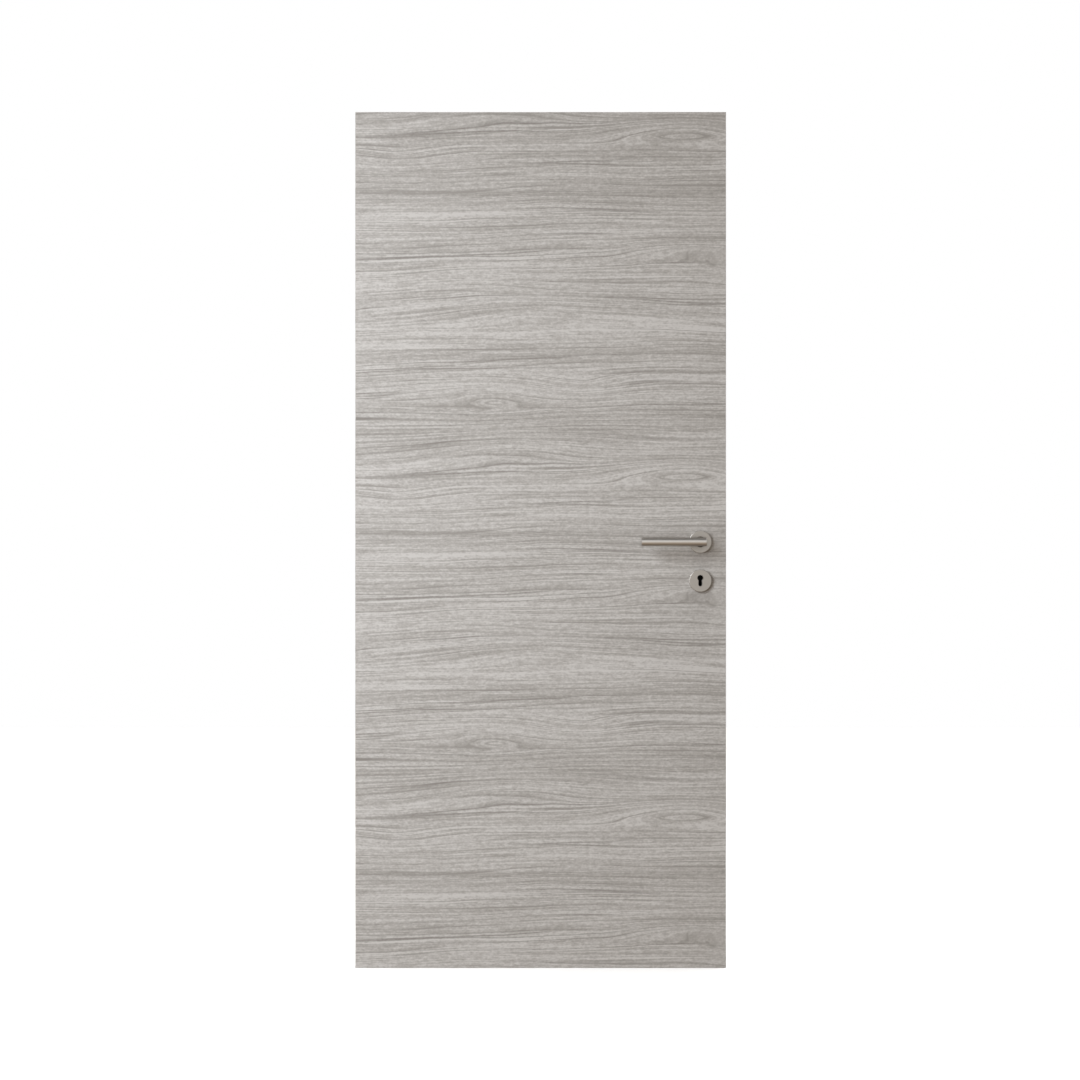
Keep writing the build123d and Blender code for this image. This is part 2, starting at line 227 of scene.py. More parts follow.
class DoorWoodSettings(bpy.types.PropertyGroup):
    """The raw wood and board inside the leaf, seen in pockets and at the bottom."""

    softwood_light: colour("Softwood", "Early wood of the stiles and rails", (0.68, 0.5, 0.3))
    softwood_dark: colour("Softwood rings", "Late wood of the stiles and rails", (0.48, 0.29, 0.13))
    hardwood_light: colour("Lock block", "Pale tone of the lock block", (0.56, 0.4, 0.24))
    hardwood_dark: colour("Lock block grain", "Dark tone of the lock block", (0.4, 0.26, 0.14))
    fibreboard: colour("Fibreboard", "Cut edge of the face sheets", (0.42, 0.27, 0.15))
    fibreboard_dark: colour("Fibreboard specks", "Dark fibres in the cut edge", (0.27, 0.16, 0.08))
    chip_light: colour("Chips", "Pale chips of the tubular board", (0.66, 0.5, 0.31))
    chip_dark: colour("Dark chips", "Dark chips of the tubular board", (0.36, 0.23, 0.12))


class DoorSteelSettings(bpy.types.PropertyGroup):
    """Satin steel, zinc plate and the plastic parts of the fittings."""

    lever: colour("Lever steel", "Levers, a little brighter than the rest", (0.617, 0.591, 0.561))
    satin: colour("Satin steel", "Roses and forend", (0.439, 0.417, 0.39))
    satin_roughness: share("Satin roughness", "Roughness of the brushed steel", 0.32)
    zinc: colour("Zinc plate", "Lock case, bolts and spindle", (0.52, 0.53, 0.54))
    zinc_roughness: share("Zinc roughness", "Roughness of the plated steel", 0.38)
    bush: colour("Bush", "Plastic ring that the neck turns in", (0.105, 0.09, 0.075))
    base: colour("Rose base", "Plastic disc under the rose", (0.02, 0.02, 0.021))
    brush_depth: length("Brush depth", "Depth of the fine brushed lines", 0.000006)


class DoorFastenerSettings(bpy.types.PropertyGroup):
    """Screws in the forend, and the black plate behind the keyhole, which is painted shade that darkens
    the view through it.
    """

    screw_inset: length("Screw inset", "From the forend's end to its screw", 0.011)
    head_sink: length("Head sink", "How far the head lies below the edge band", 0.00006)
    head_radius: length("Head radius", "Radius of the countersunk head", 0.00425)
    head_depth: length("Head depth", "Height of the countersunk cone", 0.002)
    head_round: length("Head round", "Width of the bevel at the head's rim", 0.00015)
    core_radius: length("Core radius", "Radius of the screw below its head", 0.00145)
    screw_length: length("Screw length", "From the head to the tip", 0.026)
    point_length: length("Point length", "Length of the screw's pointed end", 0.003)
    recess_reach: length("Recess reach", "Half the width of the cross recess", 0.0023)
    recess_width: length("Recess width", "Width of one arm of the recess", 0.0009)
    recess_depth: length("Recess depth", "Depth of the cross recess", 0.0012)
    recess_taper: share("Recess taper", "Length of an arm at the bottom, as a share of the top", 0.45)
    # The black plate behind the keyhole is painted shade: a dark sheet where the inside of the lock
    # lies in shade
    shade_plate_width: length("Shade plate width", "Width of the plate behind the keyhole", 0.016)
    shade_plate_height: length("Shade plate height", "Height of the plate behind the keyhole", 0.029)
    shade_plate_thickness: length("Shade plate thickness", "Thickness of that plate", 0.0006)
    shade_plate_place: length("Shade plate place", "Behind the middle of the leaf's thickness", 0.0042)
    shade_plate_tone: colour("Shutter", "Black of the plate behind the keyhole", (0.006, 0.006, 0.006))


class DoorStageSettings(bpy.types.PropertyGroup):
    """Floor, lights and camera."""

    floor_size: length("Floor size", "Side of the square floor", 14.0)
    floor_gap: length("Floor gap", "From the floor to the bottom edge of the leaf", 0.0005)
    floor_tone: colour("Floor", "Pale floor", (0.9, 0.9, 0.895))
    key_power: amount("Key light", "Power of the tall light in front, in watts", 38.8)
    key_place: spot("Key place", "Middle of the tall light in front", (-1.5, -2.4, 1.55))
    back_power: amount("Back light", "Power of the tall light behind the leaf, in watts", 38.8)
    back_place: spot("Back place", "Middle of the tall light behind the leaf", (2.35, 2.4, 1.55))
    light_width: length("Light width", "Width of the tall lights", 1.6)
    light_height: length("Light height", "Height of the tall lights", 3.0)
    accent_power: amount("Accent light", "Power of the small light above each tall one, in watts", 12.6)
    accent_size: length("Accent size", "Width and height of the small lights", 0.8)
    accent_rise: length("Accent rise", "From the middle of a tall light up to its small one", 0.85)
    light_target: spot("Light target", "Where the tall and small lights point", (0.4, 0, 0.15))
    light_spread: angle("Light spread", "Angle that the tall and small lights fill", 129)
    light_tone: colour("Light colour", "Slightly cool colour of those lights", (0.895, 0.941, 1.0))
    overhead_strength: amount("Overhead light", "Strength of the even light from above", 3.4)
    overhead_angle: angle("Overhead angle", "How wide the even light from above is", 40)
    ambient: colour("Ambient", "Warm surroundings, as rough surfaces see them", (0.22, 0.184, 0.15))
    camera_distance: length("Camera distance", "From the front face to the camera", 5.5)
    camera_side: length("Camera side", "From the hinge edge to the camera's axis", 0.4285)
    camera_height: length("Camera height", "From the floor to the camera's axis", 0.9923)
    view_height: length("View height", "Height that the picture takes in at the face", 2.505)


class Graph:
    """Adds nodes to a shader tree and links them as it goes."""

    def __init__(self, tree):
        self.tree = tree

    def feed(self, socket, value):
        """Links an output to a socket, or sets the socket to a plain value."""
        if isinstance(value, bpy.types.NodeSocket):
            self.tree.links.new(value, socket)
        elif socket.type == "RGBA" and len(value) == 3:
            socket.default_value = (*value, 1)
        else:
            socket.default_value = value

    def node(self, kind, inputs=None, **settings):
        """A new node, placed in a grid in the order of making."""
        count = len(self.tree.nodes)
        node = self.tree.nodes.new("ShaderNode" + kind)
        node.location = (220 * (count % 12), -320 * (count // 12))
        for name, value in settings.items():
            setattr(node, name, value)
        for key, value in (inputs or {}).items():
            self.feed(node.inputs[key], value)
        return node

    def math(self, operation, *values, clamp=False):
        """The result of one sum on numbers."""
        node = self.node("Math", operation=operation, use_clamp=clamp)
        for socket, value in zip(node.inputs, values):
            self.feed(socket, value)
        return node.outputs[0]

    def total(self, first, *others):
        """The sum of several values."""
        for value in others:
            first = self.math("ADD", first, value)
        return first

    def weighted(self, start, *pairs):
        """A start value plus each further value times its weight."""
        for value, weight in pairs:
            start = self.math("MULTIPLY_ADD", value, weight, start)
        return start

    def bell(self, *offsets):
        """1 where all the offsets are 0, falling smoothly as they grow past 1."""
        squares = [self.math("MULTIPLY", offset, offset) for offset in offsets]
        return self.math("EXPONENT", self.math("MULTIPLY", self.total(*squares), -1.0))

    def vector(self, operation, *values):
        """The result of one sum on vectors."""
        node = self.node("VectorMath", operation=operation)
        for socket, value in zip(node.inputs, values):
            self.feed(socket, value)
        return node.outputs["Vector"]

    def combine(self, x, y, z):
        """A vector from three numbers."""
        return self.node("CombineXYZ", {"X": x, "Y": y, "Z": z}).outputs[0]

    def separate(self, vector):
        """The X, Y and Z of a vector."""
        return self.node("SeparateXYZ", {"Vector": vector}).outputs

    def noise(self, vector, detail=0.0, roughness=0.5):
        """Smooth noise at one cell to the unit, around 0.5."""
        values = {"Vector": vector, "Scale": 1.0, "Detail": detail, "Roughness": roughness}
        return self.node("TexNoise", values).outputs["Fac"]

    def field(self, vector, rates, seed, detail=0.0, roughness=0.5):
        """Noise with its own cells to the metre along each axis, and its own seed."""
        placed = self.vector("MULTIPLY_ADD", vector, rates, (seed * 1.7, seed * 3.1, seed * 5.3))
        return self.noise(placed, detail, roughness)

    def fade(self, value, start, end, at_start=0.0, at_end=1.0):
        """A smooth step from one value to another."""
        values = {
            "Value": value, "From Min": start, "From Max": end,
            "To Min": at_start, "To Max": at_end,
        }
        return self.node("MapRange", values, interpolation_type="SMOOTHSTEP").outputs["Result"]

    def blend(self, factor, first, second):
        """Mixes two colours, whose sockets share their names with those for numbers."""
        node = self.node("Mix", data_type="RGBA")
        for index, value in ((0, factor), (6, first), (7, second)):
            self.feed(node.inputs[index], value)
        return node.outputs[2]

    def ramp(self, factor, stops):
        """A colour for each stretch of the factor, from (place, colour) pairs."""
        node = self.node("ValToRGB", {"Fac": factor})
        elements = node.color_ramp.elements
        while len(elements) < len(stops):
            elements.new(0.5)
        for element, (place, tone) in zip(elements, stops):
            element.position = place
            element.color = (*tone, 1)
        return node.outputs["Color"]

    def bump(self, height, distance):
        """A normal that follows a height, which stands that many metres out where it is 1."""
        values = {"Height": height, "Distance": distance, "Strength": 1.0}
        return self.node("Bump", values).outputs["Normal"]

    def group(self, tree, inputs):
        """Places a node group and returns its outputs."""
        node = self.node("Group", node_tree=tree)
        for key, value in inputs.items():
            self.feed(node.inputs[key], value)
        return node.outputs


socket_kinds = {"value": "NodeSocketFloat", "vector": "NodeSocketVector", "colour": "NodeSocketColor"}


def new_group(name, inputs, outputs):
    """An empty node group with named sockets: its graph, its inputs and its outputs."""
    tree = bpy.data.node_groups.new(name, "ShaderNodeTree")
    for label, kind in inputs.items():
        tree.interface.new_socket(label, in_out="INPUT", socket_type=socket_kinds[kind])
    for label, kind in outputs.items():
        tree.interface.new_socket(label, in_out="OUTPUT", socket_type=socket_kinds[kind])
    start = tree.nodes.new("NodeGroupInput")
    end = tree.nodes.new("NodeGroupOutput")
    end.location = (2900, 0)
    return Graph(tree), start.outputs, end.inputs


def new_material(name, values):
    """A material with one Principled shader: the material, its graph and the shader's inputs."""
    material = bpy.data.materials.new(name)
    material.use_nodes = True
    material.node_tree.nodes.clear()
    graph = Graph(material.node_tree)
    shader = graph.node("BsdfPrincipled")
    graph.node("OutputMaterial", {"Surface": shader.outputs["BSDF"]})
    for key, value in values.items():
        graph.feed(shader.inputs[key], value)
    return material, graph, shader.inputs


def dress(material, *nodes):
    """Gives CAD nodes a finish through their own material slots."""
    for name in nodes:
        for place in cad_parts[name].material_slots:
            place.material = material


def decor_grain_group():
    """Printed wood grain that runs along one axis and repeats across it."""
    graph, given, made = new_group(
        "decor_grain",
        {"Along": "value", "Across": "value", "Repeat": "value", "Contrast": "value",
         "Light": "colour", "Middle": "colour", "Dark": "colour", "Line": "colour"},
        {"Color": "colour", "Height": "value", "Lines": "value"},
    )
    along = given["Along"]
    turn = graph.math("DIVIDE", 2 * math.pi, given["Repeat"])
    radius = graph.math("DIVIDE", 1.0, turn)
    half_repeat = graph.math("MULTIPLY", given["Repeat"], 0.5)
    minus_half = graph.math("MULTIPLY", given["Repeat"], -0.5)

    def wrapped(level):
        """A place on a drum as long as the repeat is round, so that noise on it repeats."""
        angle = graph.math("MULTIPLY", level, turn)
        side = graph.math("MULTIPLY", graph.math("COSINE", angle), radius)
        up = graph.math("MULTIPLY", graph.math("SINE", angle), radius)
        return graph.combine(along, side, up)

    def layer(vector, along_rate, across_rate, seed, weight, detail=0.0):
        """Noise around zero, with its own cells to the metre along and across the grain."""
        rates = (along_rate, across_rate, across_rate)
        centred = graph.math("SUBTRACT", graph.field(vector, rates, seed, detail), 0.5)
        return graph.math("MULTIPLY", centred, weight)

    def above(height):
        """How far a place lies above the nearest repeat of a height."""
        gap = graph.math("SUBTRACT", given["Across"], height)
        return graph.math("WRAP", gap, minus_half, half_repeat)

    flat = wrapped(given["Across"])
    level = graph.total(given["Across"], *[layer(flat, *row) for row in bend_layers])
    for place, height, half_length, reach_up, reach_down, lift, spread in decor_figures:
        beside = graph.math("DIVIDE", graph.math("SUBTRACT", along, place), half_length)
        rise = above(height)
        over = graph.math("DIVIDE", graph.math("MAXIMUM", rise, 0.0), reach_up)
        under = graph.math("DIVIDE", graph.math("MINIMUM", rise, 0.0), reach_down)
        near = graph.bell(beside, over, under)
        pull = graph.math("MULTIPLY_ADD", rise, -spread, -lift)
        level = graph.math("MULTIPLY_ADD", pull, near, level)
    flow = wrapped(level)

    # Painted shade along the top of the front face, for the light falling off there
    start, full, change = painted_top_shade
    bands = graph.total(
        layer(flat, 2.2, 8.0, 20.0, 0.2), graph.fade(given["Across"], start, full, 0.0, change)
    )
    for height, half_height, change in decor_bands:
        near = graph.bell(graph.math("DIVIDE", above(height), half_height))
        bands = graph.math("MULTIPLY_ADD", near, change, bands)

    fibres = [layer(flow, *row) for row in fibre_layers]
    cloud = [layer(flat, *row) for row in cloud_layers]
    drawn = graph.total(bands, *fibres, *cloud)
    tone = graph.math("MULTIPLY_ADD", drawn, given["Contrast"], plain_grain)

    def lines(along_rate, across_rate, seed, width, start, end):
        """Thin dark lines along some stretches, and beside them pale strips: painted highlight where
        light would catch the edge of each pressed line.
        """
        signed = layer(flow, along_rate, across_rate, seed, 1.0)
        off = graph.math("ABSOLUTE", signed)  # a line runs where the noise crosses its middle
        core = graph.fade(off, 0.0, width, 1.0, 0.0)
        rates = (along_rate * 2.2, across_rate * 0.6, across_rate * 0.6)
        drawn = graph.fade(graph.field(flow, rates, seed + 1.0), start, end)
        # Painted highlight: a pale strip on one side of the line
        near_side = graph.fade(signed, width * 0.6, width * 1.6)
        far_side = graph.fade(signed, width * 1.8, width * 3.6, 1.0, 0.0)
        strip = graph.math("MULTIPLY", near_side, far_side)
        return graph.math("MULTIPLY", core, drawn), graph.math("MULTIPLY", strip, drawn)

    def rings(count, wander, seed, start, end):
        """Growth rings: each a crisp line that fades out upwards, strong along some stretches."""
        turns = graph.math("DIVIDE", count, given["Repeat"])
        shift = layer(flow, 1.6, count * 0.45, seed, wander)
        part = graph.math("FRACT", graph.math("MULTIPLY_ADD", level, turns, shift))
        left = graph.math("SUBTRACT", 1.0, part)
        tail = graph.math("POWER", left, 2.0)
        crest = graph.math("POWER", left, 9.0)
        shape = graph.weighted(graph.fade(part, 0.93, 1.0), (tail, 0.35), (crest, 0.65))
        drawn = graph.fade(graph.field(flow, (1.8, count, count), seed + 1.0), start, end, 0.3, 1.0)
        return graph.math("MULTIPLY", shape, drawn)

    broad = rings(count=42.0, wander=2.4, seed=40.0, start=0.36, end=0.64)
    narrow = rings(count=104.0, wander=2.0, seed=43.0, start=0.44, end=0.7)
    strong, strong_painted_highlight = lines(0.7, 60.0, seed=11.0, width=0.03, start=0.44, end=0.6)
    weak, weak_painted_highlight = lines(1.2, 150.0, seed=13.0, width=0.065, start=0.42, end=0.62)
    dashes = graph.fade(graph.field(flow, (70.0, 560.0, 560.0), seed=15.0), 0.64, 0.8)
    # The pale strips are painted highlight beside the pressed lines; the rest is the grain's own tone
    shade = graph.weighted(
        tone, (broad, -0.6), (narrow, -0.42), (strong_painted_highlight, 0.2), (weak_painted_highlight, 0.15),
        (dashes, -0.3), (weak, -0.34), (strong, -0.2),
    )
    lower = graph.math("MULTIPLY", shade, 2.0, clamp=True)
    upper = graph.math("MULTIPLY_ADD", shade, 2.0, -1.0, clamp=True)
    darker = graph.blend(lower, given["Dark"], given["Middle"])
    shaded = graph.blend(upper, darker, given["Light"])
    inked = graph.math("MULTIPLY", strong, 0.5)
    graph.feed(made["Color"], graph.blend(inked, shaded, given["Line"]))
    graph.feed(made["Lines"], strong)
    height = graph.weighted(0.0, (shade, 0.3), (strong, -0.7), (weak, -0.35), (dashes, -0.25))
    graph.feed(made["Height"], height)
    return graph.tree


def raw_wood_group():
    """Cut wood or board: slow rings and fine fibres between two tones."""
    graph, given, made = new_group(
        "raw_wood",
        {"Place": "vector", "Ring Rates": "vector", "Fibre Rates": "vector",
         "Light": "colour", "Dark": "colour"},
        {"Color": "colour", "Height": "value"},
    )

    def layer(rates, detail):
        """Noise with its own cells to the metre along each axis."""
        placed = graph.vector("MULTIPLY", given["Place"], rates)
        return graph.noise(placed, detail)

    ring_count = 9.0
    rings = graph.math("FRACT", graph.math("MULTIPLY", layer(given["Ring Rates"], 1.0), ring_count))
    late = graph.fade(rings, 0.35, 0.95)
    fibres = layer(given["Fibre Rates"], 3.0)
    mask = graph.math("MULTIPLY_ADD", late, 0.55, graph.math("MULTIPLY", fibres, 0.6), clamp=True)
    graph.feed(made["Color"], graph.blend(mask, given["Light"], given["Dark"]))
    graph.feed(made["Height"], fibres)
    return graph.tree


def brushed_group():
    """Fine brushed lines and faint handling marks on metal."""
    graph, given, made = new_group(
        "brushed_metal",
        {"Lines Place": "vector", "Place": "vector", "Tone": "colour", "Roughness": "value"},
        {"Color": "colour", "Roughness": "value", "Height": "value"},
    )
    lines = graph.noise(given["Lines Place"], 2.0, 0.6)
    marks = graph.field(given["Place"], (55.0, 55.0, 55.0), seed=8.0, detail=3.0)
    off = graph.math("SUBTRACT", lines, 0.5)
    smudge = graph.fade(marks, 0.5, 0.75)
    rough = graph.weighted(given["Roughness"], (off, 0.16), (smudge, 0.05))
    worn = graph.weighted(1.0, (off, 0.22), (smudge, -0.04))
    graph.feed(made["Color"], graph.vector("MULTIPLY", given["Tone"], graph.combine(worn, worn, worn)))
    graph.feed(made["Roughness"], rough)
    graph.feed(made["Height"], lines)
    return graph.tree


def shared_group(name, maker):
    """A node group by name, built the first time that it is asked for."""
    return bpy.data.node_groups.get(name) or maker()


def place_of(graph):
    """Place on the piece, and its X, Y and Z, in metres."""
    place = graph.node("TexCoord").outputs["Object"]
    return place, graph.separate(place)


def decor_material(name, settings, along_axis, across_axis, start, mirror=False):
    """Grey wood decor with its grain along one axis, from its start along and across."""
    material, graph, shader = new_material(name, {"Specular IOR Level": 0.45})
    place, axes = place_of(graph)
    along = graph.math("MULTIPLY_ADD", axes[along_axis], -1.0 if mirror else 1.0, start[0])
    across = graph.math("ADD", axes[across_axis], start[1])
    grain = graph.group(shared_group("decor_grain", decor_grain_group), {
        "Along": along, "Across": across, "Repeat": settings.repeat,
        "Contrast": settings.contrast, "Light": settings.light, "Middle": settings.middle,
        "Dark": settings.dark, "Line": settings.line,
    })
    marks = graph.field(place, (6.0, 6.0, 6.0), seed=21.0, detail=3.0)
    off = graph.math("SUBTRACT", marks, 0.5)
    rough = graph.weighted(settings.roughness, (off, 0.16), (grain["Lines"], 0.12))
    graph.feed(shader["Base Color"], grain["Color"])
    graph.feed(shader["Roughness"], rough)
    graph.feed(shader["Normal"], graph.bump(grain["Height"], settings.relief))
    return material, graph, shader, grain["Color"]


def add_cut_edge(graph, shader, decor_colour, wood):
    """Shows brown fibreboard where a face sheet is cut."""
    coordinates = graph.node("TexCoord").outputs
    facing = graph.math("ABSOLUTE", graph.separate(coordinates["Normal"])["Y"])
    ring_rates, fibre_rates = sheet_grain
    board = graph.group(shared_group("raw_wood", raw_wood_group), {
        "Place": coordinates["Object"], "Ring Rates": ring_rates, "Fibre Rates": fibre_rates,
        "Light": wood.fibreboard, "Dark": wood.fibreboard_dark,
    })
    outward = graph.fade(facing, 0.4, 0.6)
    graph.feed(shader["Base Color"], graph.blend(outward, board["Color"], decor_colour))


def wood_material(name, ring_rates, fibre_rates, relief, roughness, light, dark):
    """Raw sawn wood or board."""
    material, graph, shader = new_material(name, {"Roughness": roughness, "Specular IOR Level": 0.3})
    place, _ = place_of(graph)
    wood = graph.group(shared_group("raw_wood", raw_wood_group), {
        "Place": place, "Ring Rates": ring_rates, "Fibre Rates": fibre_rates,
        "Light": light, "Dark": dark,
    })
    graph.feed(shader["Base Color"], wood["Color"])
    graph.feed(shader["Normal"], graph.bump(wood["Height"], relief))
    return material


def metal_material(name, tone, roughness, depth, lines_place):
    """Brushed metal whose lines follow the vector that lines_place works out from the place."""
    material, graph, shader = new_material(name, {"Metallic": 1.0, "Specular Tint": rim_tint})
    place, axes = place_of(graph)
    brushed = graph.group(shared_group("brushed_metal", brushed_group), {
        "Lines Place": lines_place(graph, place, axes), "Place": place,
        "Tone": tone, "Roughness": roughness,
    })
    graph.feed(shader["Base Color"], brushed["Color"])
    graph.feed(shader["Roughness"], brushed["Roughness"])
    graph.feed(shader["Normal"], graph.bump(brushed["Height"], depth))
    return material


def lines_along(rates):
    """Straight brushed lines, along the axis with the lowest rate."""
    return lambda graph, place, axes: graph.vector("MULTIPLY", place, rates)


def lines_along_lever(graph, place, axes):
    """Lines along the grip, and along the neck on its side of the seam between them."""
    inward = graph.math("SUBTRACT", grip_line, graph.math("ABSOLUTE", axes["Y"]))
    beside = graph.math("ABSOLUTE", graph.math("SUBTRACT", axes["X"], handle_axis.x))
    neck = graph.math("GREATER_THAN", inward, beside)
    grip_lines = graph.vector("MULTIPLY", place, grip_brush)
    neck_lines = graph.vector("MULTIPLY", place, neck_brush)
    return graph.blend(neck, grip_lines, neck_lines)


def lines_around(centre):
    """Turned lines around an axis along Y."""
    def rings(graph, place, axes):
        """The distance from the axis, the angle around it and the place along it."""
        beside = graph.math("SUBTRACT", axes["X"], centre.x)
        above = graph.math("SUBTRACT", axes["Z"], centre.z)
        beside_squared = graph.math("MULTIPLY", beside, beside)
        above_squared = graph.math("MULTIPLY", above, above)
        reach = graph.math("SQRT", graph.math("ADD", beside_squared, above_squared))
        turn = graph.math("ARCTAN2", above, beside)
        return graph.combine(graph.math("MULTIPLY", reach, brush_across), turn, axes["Y"])
    return rings


def plastic_material(name, tone, roughness, relief):
    """Moulded plastic with a fine spark-eroded texture."""
    material, graph, shader = new_material(name, {})
    place, _ = place_of(graph)
    texture = graph.field(place, (1500.0, 1500.0, 1500.0), seed=4.0, detail=2.0)
    cloud = graph.field(place, (60.0, 60.0, 60.0), seed=5.0, detail=2.0)
    lighter = tuple(min(1.0, part * 1.35 + 0.004) for part in tone)
    graph.feed(shader["Base Color"], graph.blend(graph.fade(cloud, 0.35, 0.7), tuple(tone), lighter))
    graph.feed(shader["Roughness"], graph.math("MULTIPLY_ADD", cloud, 0.14, roughness))
    graph.feed(shader["Normal"], graph.bump(texture, relief))
    return material


def mesh_piece(name, shape, body, material):
    """Turns a bmesh into a piece that rides on a body."""
    bmesh.ops.recalc_face_normals(shape, faces=shape.faces)
    mesh = bpy.data.meshes.new(name)
    shape.to_mesh(mesh)
    shape.free()
    piece = bpy.data.objects.new(name, mesh)
    bpy.context.scene.collection.objects.link(piece)
    piece.data.materials.append(material)
    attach(piece, body)
    return piece


def turned_along_x(profile, steps):
    """A closed turned solid around the X axis, from (x, radius) points."""
    shape = bmesh.new()
    points = [shape.verts.new((x, radius, 0)) for x, radius in profile]
    edges = [shape.edges.new(pair) for pair in zip(points, points[1:])]
    bmesh.ops.spin(
        shape, geom=points + edges, cent=(0, 0, 0), axis=(1, 0, 0), angle=2 * math.pi, steps=steps
    )
    merge_distance = 1e-6
    bmesh.ops.remove_doubles(shape, verts=shape.verts, dist=merge_distance)
    return shape


def cut_with(piece, cutter):
    """Cuts one mesh object out of another and deletes the cutter."""
    modifier = piece.modifiers.new("cut", "BOOLEAN")
    modifier.operation = "DIFFERENCE"
    modifier.solver = "EXACT"
    modifier.use_self = True
    modifier.object = cutter
    evaluated = piece.evaluated_get(bpy.context.evaluated_depsgraph_get())
    mesh = bpy.data.meshes.new_from_object(evaluated)
    if not mesh.polygons:
        raise RuntimeError("nothing is left of " + piece.name)
    piece.modifiers.clear()
    piece.data = mesh
    bpy.data.objects.remove(cutter)


def cross_cutter(size, top):
    """Two crossed bars that get shorter with depth, to cut a recess into a head on the X axis."""
    shape = bmesh.new()
    overcut = 0.001
    half_width = size.recess_width / 2
    for upright in (False, True):
        for corner in bmesh.ops.create_cube(shape, size=2.0)["verts"]:
            deep = corner.co.x < 0
            reach = size.recess_reach * (size.recess_taper if deep else 1.0)
            corner.co.x = top - size.recess_depth if deep else top + overcut
            corner.co.y *= half_width if upright else reach
            corner.co.z *= reach if upright else half_width
    mesh = bpy.data.meshes.new("recess")
    shape.to_mesh(mesh)
    shape.free()
    cutter = bpy.data.objects.new("recess", mesh)
    bpy.context.scene.collection.objects.link(cutter)
    return cutter


class DOOR_OT_dress_leaf(bpy.types.Operator):
    """Print the grey wood decor on both faces and on the three edge bands"""

    bl_idname = "door.dress_leaf"
    bl_label = "Dress Leaf"

    def execute(self, context):
        decor = context.scene.door_decor
        wood = context.scene.door_wood
        for side, start in zip(sides, (front_start, back_start)):
            material, graph, shader, grain = decor_material(
                side + "_decor", decor, "X", "Z", start, mirror=side == "back"
            )
            add_cut_edge(graph, shader, grain, wood)
            dress(material, side + "_skin")
        for name, along_axis, start in band_starts:
            material, *_ = decor_material(name + "_decor", decor, along_axis, "Y", start)
            dress(material, name)
        return {"FINISHED"}


class DOOR_OT_dress_inside(bpy.types.Operator):
    """Give the stiles, rails, tubular core and lock block their raw wood"""

    bl_idname = "door.dress_inside"
    bl_label = "Dress Inside"

    def execute(self, context):
        wood = context.scene.door_wood
        soft = (wood.softwood_light, wood.softwood_dark)
        hard = (wood.hardwood_light, wood.hardwood_dark)
        chips = (wood.chip_light, wood.chip_dark)
        for name, tones, nodes in (
            ("softwood_upright", soft, ("hinge_stile", "lock_stile")),
            ("softwood_level", soft, ("top_rail", "bottom_rail")),
            ("lock_block_wood", hard, ("lock_block",)),
            ("extruded_board", chips, ("tubular_core", "upper_core_strip", "lower_core_strip")),
        ):
            dress(wood_material(name, *wood_grains[name], *tones), *nodes)
        return {"FINISHED"}


class DOOR_OT_dress_fittings(bpy.types.Operator):
    """Brush the levers, roses and forend, and mould the plastic bushes and bases"""

    bl_idname = "door.dress_fittings"
    bl_label = "Dress Fittings"

    def execute(self, context):
        steel = context.scene.door_steel
        bright = (steel.lever, steel.satin_roughness, steel.brush_depth)
        satin = (steel.satin, steel.satin_roughness, steel.brush_depth)
        lever = metal_material("lever_steel", *bright, lines_along_lever)
        cap = metal_material("cap_steel", *bright, lines_along(grip_brush))
        rose = metal_material("rose_steel", *satin, lines_around(handle_axis))
        key_rose = metal_material("key_rose_steel", *satin, lines_around(key_axis))
        forend = metal_material("forend_steel", *satin, lines_along(forend_brush))
        bush = plastic_material("bush_plastic", steel.bush, roughness=0.42, relief=0.00001)
        base = plastic_material("base_plastic", steel.base, roughness=0.55, relief=0.00002)
        dress(forend, "lock_forend")
        for side in sides:
            dress(lever, side + "_lever")
            dress(cap, side + "_lever_cap", side + "_lever_root_cap")
            dress(rose, side + "_rose")
            dress(key_rose, side + "_key_rose")
            dress(bush, side + "_guide_ring")
            dress(base, side + "_rose_base", side + "_key_rose_base")
        return {"FINISHED"}


class DOOR_OT_dress_lock(bpy.types.Operator):
    """Plate the lock case, its bolts, the follower, the spindle and the rose bolts"""

    bl_idname = "door.dress_lock"
    bl_label = "Dress Lock"

    def execute(self, context):
        steel = context.scene.door_steel
        plated = (steel.zinc, steel.zinc_roughness, steel.brush_depth)
        case = metal_material("case_plate", *plated, lines_along(case_brush))
        bolt = metal_material("bolt_plate", *plated, lines_along(bolt_brush))
        turned = metal_material("turned_plate", *plated, lines_along(turned_brush))
        dress(case, "lock_case")
        dress(bolt, "latch_bolt", "dead_bolt")
        dress(turned, "follower", "spindle", "rose_bolts", "front_neck_core", "back_neck_core")
        return {"FINISHED"}


class DOOR_OT_add_forend_screws(bpy.types.Operator):
    """Add the two countersunk cross-recess screws that hold the lock's forend"""

    bl_idname = "door.add_forend_screws"
    bl_label = "Add Forend Screws"

    def execute(self, context):
        size = context.scene.door_fasteners
        steel = context.scene.door_steel
        satin = (steel.satin, steel.satin_roughness, steel.brush_depth)
        material = metal_material("screw_steel", *satin, lines_along(screw_brush))
        top = leaf_width - size.head_sink
        bevel = size.head_round
        neck = top - size.head_depth
        tip = top - size.screw_length
        profile = (
            (top, 0.0),
            (top, size.head_radius - bevel),
            (top - bevel, size.head_radius),
            (top - 2 * bevel, size.head_radius),
            (neck, size.core_radius + bevel),
            (neck - 4 * bevel, size.core_radius),
            (tip + size.point_length, size.core_radius),
            (tip, 0.0),
        )
        for name, height in (
            ("lower_forend_screw", forend_low.z + size.screw_inset),
            ("upper_forend_screw", forend_high.z - size.screw_inset),
        ):
            shape = turned_along_x(profile, steps=48)
            screw = mesh_piece(name, shape, "leaf", material)
            cut_with(screw, cross_cutter(size, top))
            screw.data.transform(Matrix.Translation((0, 0, height)))
        return {"FINISHED"}


